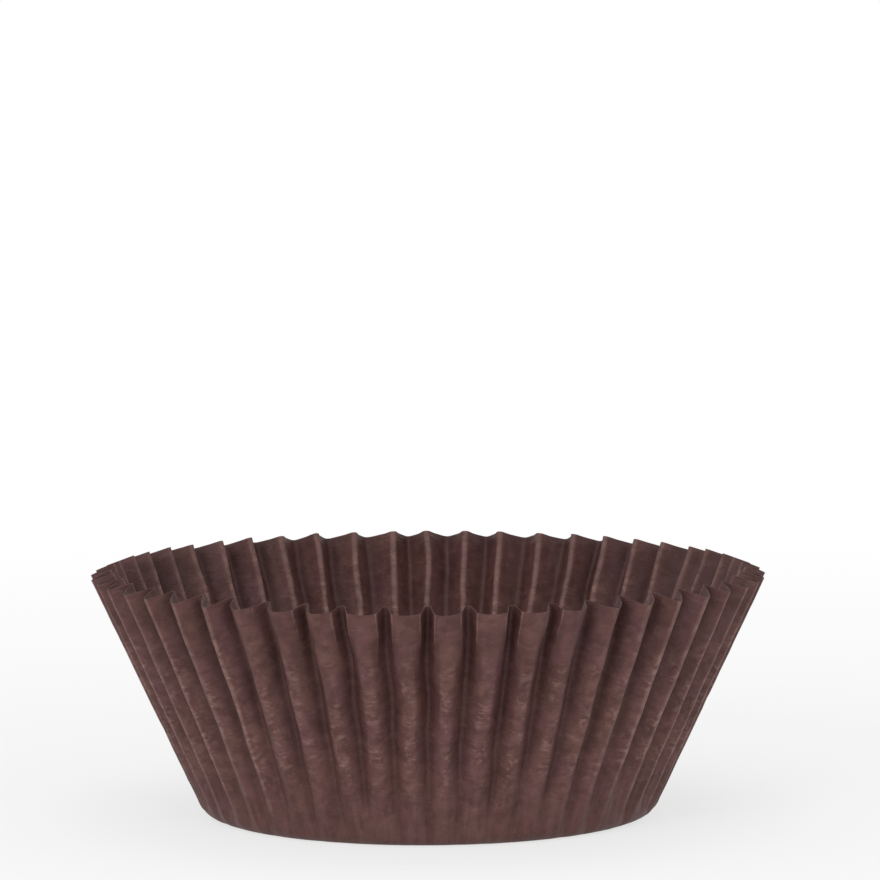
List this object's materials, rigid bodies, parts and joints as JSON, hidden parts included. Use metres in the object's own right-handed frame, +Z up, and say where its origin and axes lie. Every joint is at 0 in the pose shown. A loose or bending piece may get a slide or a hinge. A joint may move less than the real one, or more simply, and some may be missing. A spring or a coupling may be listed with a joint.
{
  "type": "cupcake liner",
  "caption": "Round paper baking cup with a flat bottom, a rolled corner and a flared, pleated wall that ends in a scalloped cut rim.",
  "frame": {"origin": "centre of the flat bottom's underside", "axes": "+Z up along the cup's axis, out of the mouth; a ridge of the pleats lies on +X"},
  "size_m": [0.0764, 0.0764, 0.0281],
  "materials": {
    "paper": "matt greaseproof paper, dyed dark chocolate brown through, lightly mottled with pale fibres"
  },
  "bodies": {
    "root": {"liner": "paper"}
  },
  "joints": []
}
